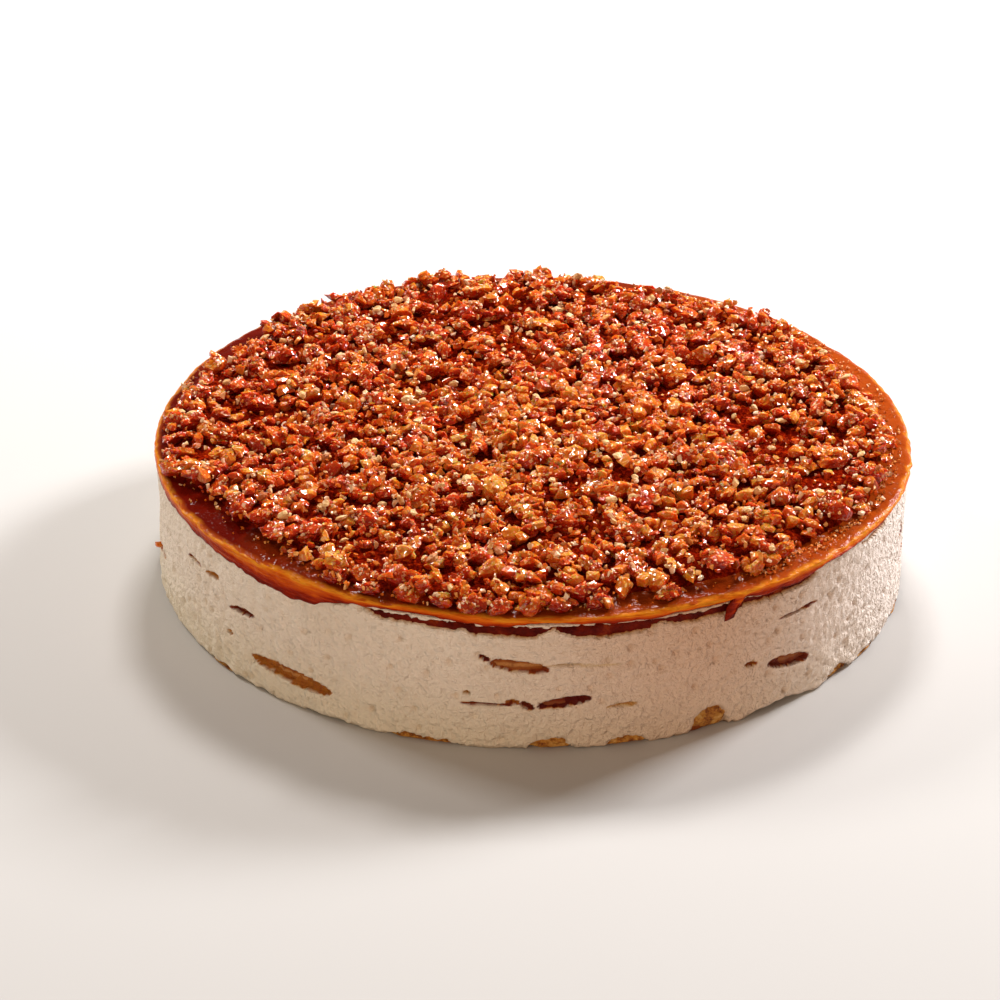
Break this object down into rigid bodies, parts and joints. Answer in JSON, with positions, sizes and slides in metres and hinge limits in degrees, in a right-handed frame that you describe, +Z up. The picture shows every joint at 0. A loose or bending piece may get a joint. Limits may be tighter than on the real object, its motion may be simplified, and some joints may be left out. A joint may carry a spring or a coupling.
{
  "type": "layered biscuit cake",
  "caption": "Round chilled cake of biscuit layers set in white cream, topped with caramel and a thick cover of crushed nut praline.",
  "frame": {"origin": "middle of the underside", "axes": "+Z up, through the middle of the round cake; the side that faces the picture's camera faces -Y"},
  "size_m": [0.2405, 0.2406, 0.0546],
  "materials": {
    "cream": "soft satin, set cream",
    "biscuit": "dry matt, baked biscuit",
    "soaked_biscuit": "satin, biscuit soaked with caramel",
    "caramel_praline": "glossy, caramel and burnt sugar with nuts"
  },
  "bodies": {
    "root": {"cream_body": "cream", "biscuit_layer_base": "biscuit", "biscuit_layer_lower": "biscuit", "biscuit_layer_upper": "biscuit", "biscuit_layer_top": "soaked_biscuit", "caramel_with_praline": "caramel_praline"}
  },
  "joints": []
}
